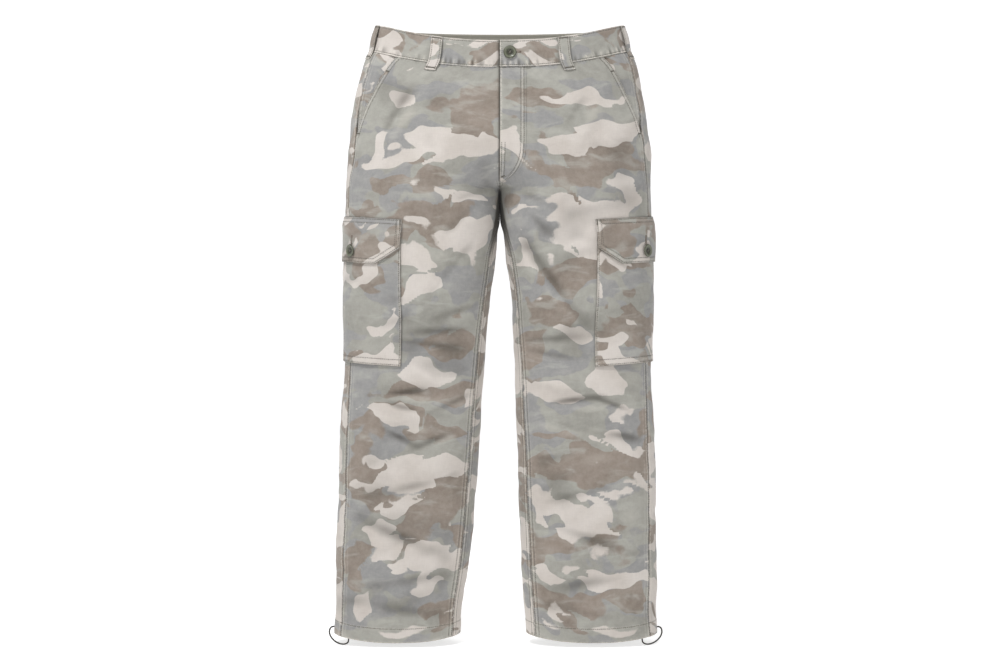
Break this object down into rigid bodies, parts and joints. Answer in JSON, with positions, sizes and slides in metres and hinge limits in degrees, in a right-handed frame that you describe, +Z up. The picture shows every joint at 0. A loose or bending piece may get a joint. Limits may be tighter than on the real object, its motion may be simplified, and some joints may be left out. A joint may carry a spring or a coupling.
{
  "type": "cargo pants",
  "caption": "Straight-leg cargo pants with flapped side pockets, filled out and hollow, open at waist and hems.",
  "frame": {"origin": "middle of the waist, level with the waistband's top edge at the centre front", "axes": "+Z up the body, -Y towards the front, +X towards the wearer's left leg"},
  "size_m": [0.5653, 0.2262, 1.0456],
  "materials": {
    "twill_body": "washed cotton twill, camouflage print",
    "twill_waist": "washed cotton twill, camouflage print, worn edges",
    "twill_pocket": "washed cotton twill, camouflage print, worn edges",
    "button": "moulded olive resin, satin",
    "cord": "thin braided elastic cord, dark"
  },
  "bodies": {
    "root": {"front_right": "twill_body", "front_left": "twill_body", "back_right": "twill_body", "back_left": "twill_body", "pocket_facing_right": "twill_body", "pocket_facing_left": "twill_body", "fly": "twill_body", "waistband": "twill_waist", "belt_loop_front_right": "twill_waist", "belt_loop_front_left": "twill_waist", "belt_loop_side_right": "twill_waist", "belt_loop_side_left": "twill_waist", "belt_loop_back_right": "twill_waist", "belt_loop_back_left": "twill_waist", "belt_loop_centre_back": "twill_waist", "cargo_pocket_right": "twill_pocket", "cargo_pocket_left": "twill_pocket", "cargo_flap_right": "twill_pocket", "cargo_flap_left": "twill_pocket", "waist_button": "button", "cargo_button_right": "button", "cargo_button_left": "button", "hem_cord_right": "cord", "hem_cord_left": "cord"}
  },
  "joints": []
}
